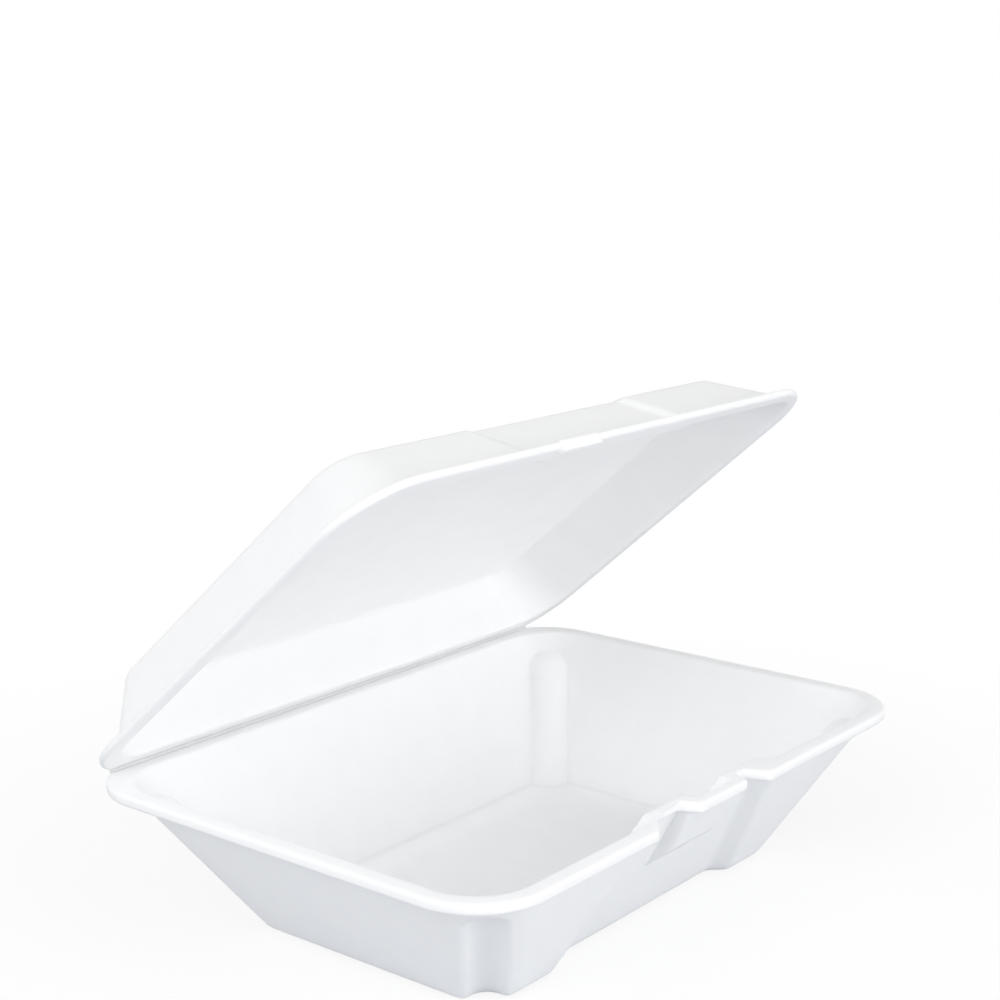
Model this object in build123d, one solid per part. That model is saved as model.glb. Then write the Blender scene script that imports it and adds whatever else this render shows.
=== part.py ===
from build123d import *
import os

# Foam clamshell carry-out box: a deep tray and a shallow lid, thermoformed from one sheet of white
# foamed polystyrene and joined along the back by a pressed living hinge.
# The frame is millimetres, X along the hinge, +Y towards the hinge, +Z up. The tray is drawn around
# the middle of its rim, and both pieces are moved at the end.

# Rim, shared by the tray and the lid
rim_length = 236.0
rim_depth = 163.0
rim_corner_radius = 24.0
rim_width = 5.5
rim_edge_round = 1.1
mouth_round = 1.5

# Foamed sheet
tray_rim_thickness = 3.6
tray_wall = 2.6
lid_rim_thickness = 2.6
lid_wall = 2.4

# Tray
tray_height = 51.0
foot_length = 161.0
foot_depth = 101.0
foot_corner_radius = 15.0
foot_edge_round = 4.5
floor_panel_margin = 15.0
floor_panel_rise = 2.2
floor_panel_radius = 10.0
floor_panel_draft = 1.5

# Corner ribs that keep stacked trays from jamming: a groove outside, a rib inside
rib_groove_radius = 7.0
rib_groove_depth = 3.5
rib_groove_edge_round = 2.6
rib_side_round = 1.8
rib_top_drop = 16.0

# Recess in the tray's front wall below the latch
recess_depth = 5.5
recess_top_width = 60.0
recess_foot_width = 90.0
recess_flank = 1.0
recess_side_round = 5.0

# Latch: a notch in the tray's front rim with a catch in it, wider on the left as a thumb notch,
# and a thumb tab under the lid's front rim that drops into the wide side
notch_left = 39.5
notch_left_slope = 12.0
notch_right = 23.5
notch_right_slope = 4.0
notch_depth = 9.0
notch_corner_round = 2.0
catch_width = 26.0
catch_setback = 2.0
catch_side_slope = 3.5
catch_drop = 18.0
catch_heel = 8.0
catch_edge_round = 2.2
tab_thickness = 2.6
tab_drop = 1.1
tab_gap = 1.5
tab_corner_round = 1.5

# Lid
lid_height = 23.0
lid_side_inset = 19.5
lid_front_inset = 22.0
lid_back_inset = 12.0
lid_top_radius = 12.0
lid_top_round = 4.5
lid_hinge_rim = 4.5
lid_recess_depth = 1.8
lid_recess_width = 74.0
lid_recess_flank = 2.0
lid_recess_side_round = 5.5

# Hinge: the rims' rounded outline is cut off along the hinge and pressed there to thin lips, a hair apart
hinge_gap = 0.3
hinge_lip = 0.8
hinge_cut = 4.0
hinge_press_width = 3.0
open_angle = 41.0


def between(start, end, share):
    """Value a share of the way from a start to an end."""
    return start + (end - start) * share


def loft_between(low, high):
    """Solid with straight walls from one flat outline to another above it."""
    return loft(Sketch() + [low.face(), high.face()], ruled=True)


def rounded_outline(length, depth, radius, height, centre_y=0.0):
    """Rounded rectangle at a height."""
    return Pos(0, centre_y, height) * RectangleRounded(length, depth, radius)


def edges_at(solid, height):
    """Edges of a solid that lie flat at a height."""

    def lies_flat(edge):
        return all(abs((edge @ share).Z - height) < 1e-4 for share in (0, 0.5, 1))

    return [edge for edge in solid.edges() if lies_flat(edge)]


def rising_edges(solid, reach):
    """Front edges of a solid that run from its bottom to its top within a reach of the middle."""
    box = solid.bounding_box()
    span = 0.9 * box.size.Z
    rising = [edge for edge in solid.edges() if abs((edge @ 1).Z - (edge @ 0).Z) > span]
    return [edge for edge in rising if abs((edge @ 0.5).X) < reach and (edge @ 0.5).Y < 0]


# Tray walls: the skin runs from the foot to the rim's top, and the cavity is the same form inset by the wall
mouth_length = rim_length - 2 * rim_width
mouth_depth = rim_depth - 2 * rim_width
mouth_radius = rim_corner_radius - rim_width
side_slope = (mouth_length / 2 + tray_wall - foot_length / 2) / tray_height
front_slope = (mouth_depth / 2 + tray_wall - foot_depth / 2) / tray_height
side_wall = tray_wall * (1 + side_slope**2) ** 0.5
front_wall = tray_wall * (1 + front_slope**2) ** 0.5
above = 1.0


def corner_radius(height):
    """Corner radius of the tray's skin at a height."""
    return between(foot_corner_radius, mouth_radius + tray_wall, height / tray_height)


def tray_section(height, inset):
    """Outline of the tray's skin at a height, or of its cavity where inset is 1."""
    length = foot_length + 2 * side_slope * height - 2 * inset * side_wall
    depth = foot_depth + 2 * front_slope * height - 2 * inset * front_wall
    return rounded_outline(length, depth, corner_radius(height) - inset * tray_wall, height)


def front_y(height):
    """Place of the tray's outer front skin at a height, away from its recess."""
    return -(foot_depth / 2 + front_slope * height)


def recess_outline(half, front, depth, flank, wall, height):
    """Cross-section of a recess whose sides spread by the flank, grown by a wall, open past the front."""
    back = front + depth + wall
    half_back = half + ((1 + flank**2) ** 0.5 - flank) * wall
    reach = 2 * depth + wall
    half_mouth = half_back + flank * reach
    points = [
        (-half_back, back),
        (half_back, back),
        (half_mouth, back - reach),
        (-half_mouth, back - reach),
    ]
    return Pos(0, 0, height) * make_face(Polyline(*points, close=True))


def recess_section(height, inset):
    """Cross-section of the tray's front recess at a height, grown by the wall where inset is 1."""
    half = between(recess_foot_width, recess_top_width, height / tray_height) / 2
    return recess_outline(half, front_y(height), recess_depth, recess_flank, inset * front_wall, height)


def front_recess(inset):
    """Block that carves the recess out of the skin, or fills the cavity behind it where inset is 1."""
    return loft_between(recess_section(-above, inset), recess_section(tray_height + 2 * above, inset))


def catch_block(inset):
    """Space of the catch, where the front wall stays full; inset 1 gives the hollow behind it."""
    heel_top = tray_height - catch_drop + inset * tray_wall
    heel_foot = heel_top - catch_heel
    outer = Vector(front_y(heel_top), heel_top)
    inner = Vector(front_y(heel_foot) + recess_depth, heel_foot)
    lean = inner - outer
    low = inner + lean * 2
    high = outer - lean * 2
    top = tray_height + 2 * above
    profile = make_face(Polyline((low.X, low.Y), (low.X, top), (high.X, top), (high.X, high.Y), close=True))
    return extrude(Plane.YZ * profile, catch_width / 2 - inset * tray_wall, both=True)


def with_catch(form, plain, inset):
    """Form with the catch filled back in from the plain form, its sides and the top of its heel rounded."""
    filled = form + (plain & catch_block(inset))
    half = catch_width / 2 - inset * tray_wall
    top_edges = edges_at(filled, tray_height + inset * above)

    def lower_end(edge):
        return min((edge @ 0).Z, (edge @ 1).Z)

    def beside_catch(edge):
        return all(abs(abs((edge @ end).X) - half) < 1e-4 for end in (0, 1))

    around = [edge for edge in filled.edges() if beside_catch(edge) and edge not in top_edges]
    heel_foot = min(lower_end(edge) for edge in around)
    return fillet([edge for edge in around if lower_end(edge) > heel_foot + 1e-4], catch_edge_round)


def corner_rod(radius, side_x, side_y):
    """Round-topped rod along one corner of the tray, leaning with the walls."""

    def corner(height):
        lean = corner_radius(height) * (1 - 0.5**0.5) - (rib_groove_radius - rib_groove_depth) * 0.5**0.5
        x = foot_length / 2 + side_slope * height - lean
        y = foot_depth / 2 + front_slope * height - lean
        return Vector(side_x * x, side_y * y, height)

    top = corner(tray_height - rib_top_drop)
    below = corner(-2 * radius)
    axis = top - below
    # Seams and poles of the round surfaces point away from the wall, so that the cut's edges are clean
    outward = Vector(side_x, side_y, 0)
    lower_end = (Align.CENTER, Align.CENTER, Align.MIN)
    rod = Plane(origin=below, x_dir=outward, z_dir=axis) * Cylinder(radius, axis.length, align=lower_end)
    return rod + Plane(origin=top, x_dir=outward, z_dir=axis) * Sphere(radius)


def corner_rods(radius):
    """Rods along the four corners."""
    return [corner_rod(radius, side_x, side_y) for side_x in (-1, 1) for side_y in (-1, 1)]


def grooved(form, low, inset):
    """Form with the corner rods cut out of it and the cuts' edges rounded, all but those on its flat foot."""
    rods = corner_rods(rib_groove_radius + inset * tray_wall)
    cut = form - rods
    foot_edges = edges_at(cut, low)
    sharp = [edge for edge in new_edges(form, *rods, combined=cut) if edge not in foot_edges]
    return fillet(sharp, between(rib_groove_edge_round, rib_side_round, inset))


def floor_panel(grow, high):
    """Raised middle of the floor, with drafted edges; grow widens it by the sheet's thickness."""
    length = foot_length - 2 * floor_panel_margin + 2 * grow
    depth = foot_depth - 2 * floor_panel_margin + 2 * grow
    draft = floor_panel_draft * high / floor_panel_rise
    bottom = rounded_outline(length, depth, floor_panel_radius, 0)
    top = rounded_outline(length - 2 * draft, depth - 2 * draft, floor_panel_radius - draft / 2, high)
    return loft_between(bottom, top)


def tray_form(inset):
    """Tray's skin, or its cavity where inset is 1, with the recess, catch, corner ribs and floor panel."""
    low = inset * tray_wall
    plain = loft_between(tray_section(low, inset), tray_section(tray_height + inset * above, inset))
    form = plain - front_recess(inset)
    form = fillet(rising_edges(form, recess_foot_width), recess_side_round)
    form = fillet(edges_at(form, low), foot_edge_round - inset * tray_wall)
    form = with_catch(form, plain, inset)
    form = grooved(form, low, inset)
    return form - floor_panel(inset * tray_wall, floor_panel_rise + inset * tray_wall)


def notch_plan():
    """Plan of the notch: a wide and a narrow pocket with the catch's lip between them."""
    edge = -rim_depth / 2
    lip = edge + catch_setback
    back = edge + notch_depth
    outside = edge - rim_width
    half_catch = catch_width / 2
    points = [
        (-notch_left, outside),
        (-notch_left, edge),
        (-notch_left + notch_left_slope, back),
        (-half_catch - catch_side_slope, back),
        (-half_catch, lip),
        (half_catch, lip),
        (half_catch + catch_side_slope, back),
        (notch_right - notch_right_slope, back),
        (notch_right, edge),
        (notch_right, outside),
    ]
    return make_face(Polyline(*points, close=True))


def rim_plan():
    """Plan of either rim: a rounded rectangle cut off along the hinge."""
    whole = Pos(0, hinge_cut / 2) * RectangleRounded(rim_length, rim_depth + hinge_cut, rim_corner_radius)
    return whole & Rectangle(rim_length, rim_depth)


def rounded_rim(plan, low, thickness):
    """Flat flange with rounded edges everywhere but along the hinge."""
    rim = Pos(0, 0, low) * extrude(plan, thickness)
    edges = edges_at(rim, low) + edges_at(rim, low + thickness)
    return fillet([edge for edge in edges if (edge @ 0.5).Y < rim_depth / 2 - 1e-4], rim_edge_round)


def tray_rim():
    """Tray's flange, notched at the front for the latch."""
    plan = rim_plan() - notch_plan()
    at_notch = [corner for corner in plan.vertices() if abs(corner.X) < notch_left + 1 and corner.Y < 0]
    plan = fillet(at_notch, notch_corner_round)
    return rounded_rim(plan, tray_height - tray_rim_thickness, tray_rim_thickness)


def press_hinge(solid, inner, outer):
    """Press a rim to a thin lip along the hinge, from its outer face towards its inner face."""
    back = rim_depth / 2
    lip = inner + hinge_lip * (1 if outer > inner else -1)
    slope = (lip - outer) / hinge_press_width
    points = [
        (back - hinge_press_width - above, outer - slope * above),
        (back + above, outer - slope * above),
        (back + above, lip + slope * above),
    ]
    profile = make_face(Polyline(*points, close=True))
    return solid - extrude(Plane.YZ * profile, rim_length / 2, both=True)


def mouth_edges(solid, height):
    """Edges of the mouth at a height, inside the rim's flat."""
    front = -rim_depth / 2 + notch_depth + above
    back = rim_depth / 2 - lid_hinge_rim
    side = (rim_length - rim_width) / 2
    middles = [(edge, edge @ 0.5) for edge in edges_at(solid, height)]
    return [edge for edge, middle in middles if abs(middle.X) < side and front < middle.Y < back]


tray = tray_form(0) + tray_rim() - tray_form(1)
tray = press_hinge(tray, tray_height, tray_height - tray_rim_thickness)
tray = fillet(mouth_edges(tray, tray_height), mouth_round)

# Lid, modelled closed on the tray with a hair of room between the rims
lid_base = tray_height + hinge_gap
lid_rim_top = lid_base + lid_rim_thickness
lid_low_half = mouth_length / 2 + lid_wall
lid_low_front = -mouth_depth / 2 - lid_wall
lid_low_back = rim_depth / 2 - lid_hinge_rim
lid_top_half = rim_length / 2 - lid_side_inset
lid_top_front = -rim_depth / 2 + lid_front_inset
lid_top_back = rim_depth / 2 - lid_back_inset


def lid_section(height, inset):
    """Outline of the lid's skin at a height over its rim's face, or of its cavity where inset is 1."""
    share = height / lid_height
    room = inset * lid_wall
    half = between(lid_low_half, lid_top_half, share) - room
    front = between(lid_low_front, lid_top_front, share) + room
    back = between(lid_low_back, lid_top_back, share) - room
    radius = between(mouth_radius, lid_top_radius, share) - room / 2
    return rounded_outline(2 * half, back - front, radius, lid_base + height, (front + back) / 2)


def lid_recess_section(height, inset):
    """Cross-section of the shallow recess in the lid's front wall."""
    front = between(lid_low_front, lid_top_front, height / lid_height)
    half = lid_recess_width / 2
    wall = inset * lid_wall
    return recess_outline(half, front, lid_recess_depth, lid_recess_flank, wall, lid_base + height)


def lid_form(inset):
    """Lid's domed skin, or its cavity where inset is 1."""
    low = -inset * above
    high = lid_height - inset * lid_wall
    form = loft_between(lid_section(low, inset), lid_section(high, inset))
    recess_low = lid_recess_section(low - above, inset)
    recess_high = lid_recess_section(high + above, inset)
    form = form - loft_between(recess_low, recess_high)
    form = fillet(rising_edges(form, lid_recess_width), lid_recess_side_round)
    return fillet(edges_at(form, lid_base + high), lid_top_round - inset * lid_wall)


def lid_rim():
    """Lid's flange, with a thumb tab turned down at the front that drops into the tray's notch."""
    rim = rounded_rim(rim_plan(), lid_base, lid_rim_thickness)
    tab_left = -notch_left + notch_left_slope * tab_thickness / notch_depth + tab_gap
    tab_right = -catch_width / 2 - tab_gap
    tab_height = tab_drop + lid_rim_thickness
    tab_plan = RectangleRounded(tab_right - tab_left, tab_height, tab_corner_round)
    centre = ((tab_left + tab_right) / 2, -rim_depth / 2, lid_rim_top - tab_height / 2)
    face = Plane(origin=centre, z_dir=(0, 1, 0), x_dir=(1, 0, 0))
    return rim + extrude(face * tab_plan, tab_thickness)


lid = lid_form(0) + lid_rim() - lid_form(1)
lid = press_hinge(lid, lid_base, lid_rim_top)
lid = fillet(mouth_edges(lid, lid_base), mouth_round)

# Hinge axis: along the rims' back edges, midway between their faces
hinge_axis = Axis((0, rim_depth / 2 + hinge_gap, tray_height + hinge_gap / 2), (1, 0, 0))
lid = lid.rotate(hinge_axis, -open_angle)

# The origin goes to the ground under the middle of the open box
front = tray.bounding_box().min.Y
back = lid.bounding_box().max.Y
to_origin = Pos(0, -(front + back) / 2, 0)

os.makedirs("parts", exist_ok=True)
export_step(to_origin * tray, "parts/tray.step")
export_step(to_origin * lid, "parts/lid.step")
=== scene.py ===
import math

import bmesh
import bpy
from mathutils import Matrix, Vector


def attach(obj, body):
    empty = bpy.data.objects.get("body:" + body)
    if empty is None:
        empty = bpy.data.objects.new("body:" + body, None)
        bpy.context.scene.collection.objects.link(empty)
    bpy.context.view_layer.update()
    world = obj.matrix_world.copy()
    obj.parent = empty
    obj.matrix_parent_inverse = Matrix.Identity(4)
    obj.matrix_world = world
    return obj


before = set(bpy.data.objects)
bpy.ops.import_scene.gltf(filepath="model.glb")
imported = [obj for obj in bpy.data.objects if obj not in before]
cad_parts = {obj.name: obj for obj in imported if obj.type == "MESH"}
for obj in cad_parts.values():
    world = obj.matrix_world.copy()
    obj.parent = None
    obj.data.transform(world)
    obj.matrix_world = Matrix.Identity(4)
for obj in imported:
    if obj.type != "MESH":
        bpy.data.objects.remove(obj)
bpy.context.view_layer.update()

mm = 0.001

# Foam: one sheet of foamed polystyrene, heated and pressed between moulds into both halves of the box.
# The moulds leave a smooth, faintly pebbled closed-cell skin, a cool white with a dull satin sheen.
foam_white = "#F7F7F7"
foam_shade = "#F2F3F4"


def linear(hex_colour):
    """Linear RGBA of an sRGB hex colour."""
    parts = [int(hex_colour[at:at + 2], 16) / 255 for at in (1, 3, 5)]
    curve = [p / 12.92 if p <= 0.04045 else ((p + 0.055) / 1.055) ** 2.4 for p in parts]
    return (*curve, 1.0)


def add_node(tree, kind, settings=None, **links):
    """Add a node, set its properties, and set or link its inputs by name."""
    node = tree.nodes.new(kind)
    for name, value in (settings or {}).items():
        setattr(node, name, value)
    for name, value in links.items():
        socket = node.inputs[name.replace("_", " ")]
        if isinstance(value, bpy.types.NodeSocket):
            tree.links.new(value, socket)
        else:
            socket.default_value = value
    return node


def foam_material():
    """Foamed polystyrene with its moulded skin."""
    # Cells are about 0.4 mm across, drawn at 0.9 mm so that they show in the picture
    cell_size = 0.9 * mm
    cell_relief = 0.05 * mm
    # The sheet cools a little uneven, in soft waves
    wave_size = 22 * mm
    wave_relief = 0.25 * mm
    relief_strength = 0.5
    # Tint and sheen drift in soft clouds
    cloud_size = 12 * mm
    least_rough = 0.48
    most_rough = 0.62
    # Light spreads a few millimetres through the cells, so the thin walls glow where light falls behind them
    light_spread = 3 * mm
    material = bpy.data.materials.new("foam_skin")
    material.use_nodes = True
    tree = material.node_tree
    shader = tree.nodes["Principled BSDF"]
    place = add_node(tree, "ShaderNodeTexCoord").outputs["Object"]
    cells = add_node(tree, "ShaderNodeTexVoronoi", {"feature": "F1"}, Vector=place, Scale=1 / cell_size)
    waves = add_node(tree, "ShaderNodeTexNoise", None, Vector=place, Scale=1 / wave_size, Detail=0.0)
    clouds = add_node(tree, "ShaderNodeTexNoise", None, Vector=place, Scale=1 / cloud_size, Detail=2.0)
    # A colour mix takes its two colours at sockets 6 and 7 and gives the result at socket 2
    tint = add_node(tree, "ShaderNodeMix", {"data_type": "RGBA"})
    tint.inputs[6].default_value = linear(foam_white)
    tint.inputs[7].default_value = linear(foam_shade)
    tree.links.new(clouds.outputs["Fac"], tint.inputs[0])
    tree.links.new(tint.outputs[2], shader.inputs["Base Color"])
    sheen = add_node(
        tree, "ShaderNodeMapRange", None, Value=clouds.outputs["Fac"], To_Min=least_rough, To_Max=most_rough
    )
    tree.links.new(sheen.outputs["Result"], shader.inputs["Roughness"])
    # Cells and waves in one height, in parts of the waves' relief
    height = add_node(tree, "ShaderNodeMath", {"operation": "MULTIPLY_ADD"})
    tree.links.new(cells.outputs["Distance"], height.inputs[0])
    height.inputs[1].default_value = cell_relief / wave_relief
    tree.links.new(waves.outputs["Fac"], height.inputs[2])
    relief = add_node(
        tree,
        "ShaderNodeBump",
        None,
        Strength=relief_strength,
        Distance=wave_relief,
        Height=height.outputs["Value"],
    )
    tree.links.new(relief.outputs["Normal"], shader.inputs["Normal"])
    shader.inputs["IOR"].default_value = 1.5
    shader.inputs["Subsurface Weight"].default_value = 1.0
    shader.inputs["Subsurface Radius"].default_value = (1.0, 1.0, 1.0)
    shader.inputs["Subsurface Scale"].default_value = light_spread
    return material


foam = foam_material()


def skin_with_foam(node_name):
    """Give a moulded half its foam, on the solid's own faces."""
    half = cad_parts[node_name]
    half.data.materials.clear()
    half.data.materials.append(foam)


# Tray: the deep half, formed from the sheet with its flange, notch, catch, ribs and raised floor panel.
# It comes off the mould in its final shape, so the solid itself carries the foam.
skin_with_foam("tray")

# Lid: the shallow half of the same sheet, with a tab under its front flange that drops into the tray's notch.
# It too is as the mould leaves it, and turns on the crease at the back.
skin_with_foam("lid")

# Hinge film: the crease where the one sheet folds, pressed thin between the two rims' lips.
# It is the same foam, squeezed to a film that rounds the fold and holds the halves together.
film_radius = 1.2 * mm
film_sides = 16
film_half_length = 106.5 * mm
film_end_round = 0.9 * mm
film_end_steps = 4
end_edge_angle = math.radians(60)
sharp_edge_angle = math.radians(50)
hinge_height = 51.15 * mm
hinge_back = 79.1535 * mm
film_mesh = bpy.data.meshes.new("hinge_film")
film_shape = bmesh.new()
bmesh.ops.create_cone(
    film_shape,
    cap_ends=True,
    segments=film_sides,
    radius1=film_radius,
    radius2=film_radius,
    depth=2 * film_half_length,
    matrix=Matrix.Translation((0, hinge_back, hinge_height)) @ Matrix.Rotation(math.pi / 2, 4, "Y"),
)
film_ends = [edge for edge in film_shape.edges if edge.calc_face_angle() > end_edge_angle]
bmesh.ops.bevel(
    film_shape,
    geom=film_ends,
    offset=film_end_round,
    affect="EDGES",
    segments=film_end_steps,
    profile=0.5,
    material=-1,
)
film_shape.to_mesh(film_mesh)
film_shape.free()
film_mesh.shade_smooth()
film_mesh.set_sharp_from_angle(angle=sharp_edge_angle)
film_mesh.materials.append(foam)
film = bpy.data.objects.new("hinge_film", film_mesh)
bpy.context.collection.objects.link(film)
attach(film, "tray")

# Floor: a plain pale studio floor, so white to the eye that it runs into the backdrop.
# It keeps the box's soft shadow close by and throws back about three fifths of the light that falls on it.
floor_size = 12.0
floor_bounce = "#C8CBD0"
floor_roughness = 0.9
# Near the box the floor shows this share of its own shading under the white, fading out by the far reach
shadow_share = 0.2
shadow_reach = 0.1
fade_reach = 0.35
bpy.ops.mesh.primitive_plane_add(size=floor_size)
floor = bpy.context.object
floor.name = "floor"
floor_material = bpy.data.materials.new("white_sweep")
floor_material.use_nodes = True
floor_tree = floor_material.node_tree
floor_shader = floor_tree.nodes["Principled BSDF"]
floor_shader.inputs["Roughness"].default_value = floor_roughness
seen = add_node(floor_tree, "ShaderNodeLightPath").outputs["Is Camera Ray"]
floor_colour = add_node(floor_tree, "ShaderNodeMix", {"data_type": "RGBA"})
floor_colour.inputs[6].default_value = linear(floor_bounce)
floor_colour.inputs[7].default_value = (1, 1, 1, 1)
floor_tree.links.new(seen, floor_colour.inputs[0])
floor_tree.links.new(floor_colour.outputs[2], floor_shader.inputs["Base Color"])
floor_place = add_node(floor_tree, "ShaderNodeTexCoord").outputs["Object"]
floor_distance = add_node(floor_tree, "ShaderNodeVectorMath", {"operation": "LENGTH"}, Vector=floor_place)
whiteness = add_node(
    floor_tree,
    "ShaderNodeMapRange",
    {"interpolation_type": "SMOOTHSTEP"},
    Value=floor_distance.outputs["Value"],
    From_Min=shadow_reach,
    From_Max=fade_reach,
    To_Min=1 - shadow_share,
    To_Max=1.0,
)
glow = add_node(floor_tree, "ShaderNodeEmission", None, Color=(1, 1, 1, 1), Strength=1.0)
glow_share = add_node(floor_tree, "ShaderNodeMath", {"operation": "MULTIPLY"})
floor_tree.links.new(seen, glow_share.inputs[0])
floor_tree.links.new(whiteness.outputs["Result"], glow_share.inputs[1])
floor_mix = add_node(floor_tree, "ShaderNodeMixShader", None, Fac=glow_share.outputs["Value"])
floor_tree.links.new(floor_shader.outputs["BSDF"], floor_mix.inputs[1])
floor_tree.links.new(glow.outputs["Emission"], floor_mix.inputs[2])
floor_tree.links.new(floor_mix.outputs["Shader"], floor_tree.nodes["Material Output"].inputs["Surface"])
floor.data.materials.append(floor_material)

# Light: a white room all round and broad soft boxes, so that the foam shows its form in faint greys.
# The camera sees the room as plain white, while the foam gets its weaker light.
room_light = 0.56
lamp_size = 1.2
lit_point = (0, 0, 0.05)
world = bpy.data.worlds.new("studio")
bpy.context.scene.world = world
world.use_nodes = True
room_tree = world.node_tree
room_seen = add_node(room_tree, "ShaderNodeLightPath").outputs["Is Camera Ray"]
level = add_node(room_tree, "ShaderNodeMapRange", None, Value=room_seen, To_Min=room_light, To_Max=1.0)
room = room_tree.nodes["Background"]
room.inputs["Color"].default_value = (1, 1, 1, 1)
room_tree.links.new(level.outputs["Result"], room.inputs["Strength"])
# White foam passes light from wall to wall many times before it is spent
bpy.context.scene.cycles.diffuse_bounces = 6


def soft_box(name, place, watts):
    """Square area lamp aimed at the box."""
    lamp = bpy.data.lights.new(name, "AREA")
    lamp.size = lamp_size
    lamp.energy = watts
    lamp_object = bpy.data.objects.new(name, lamp)
    lamp_object.location = place
    lamp_object.rotation_euler = (Vector(lit_point) - Vector(place)).to_track_quat("-Z", "Y").to_euler()
    bpy.context.collection.objects.link(lamp_object)


soft_box("front_box", (0.2, -1.8, 0.5), 15.5)
soft_box("left_box", (-1.7, -0.2, 0.9), 13)
soft_box("high_left_box", (-1.5, 0.4, 1.5), 5)
soft_box("high_front_box", (0.1, -1.2, 1.6), 2)

# Camera: at the photograph's angle, looking over the left front corner from above the rim.
eye = Vector((-465.9, -365.35, 257.2)) * mm
aim = Vector((0.7546, 0.6027, -0.2596))
camera_data = bpy.data.cameras.new("camera")
camera_data.sensor_width = 36
camera_data.lens = 67.55
camera_data.shift_y = 0.1
camera_data.clip_start = 0.01
camera = bpy.data.objects.new("camera", camera_data)
camera.location = eye
camera.rotation_euler = aim.to_track_quat("-Z", "Y").to_euler()
bpy.context.collection.objects.link(camera)
bpy.context.scene.camera = camera
bpy.context.scene.view_settings.view_transform = "Standard"
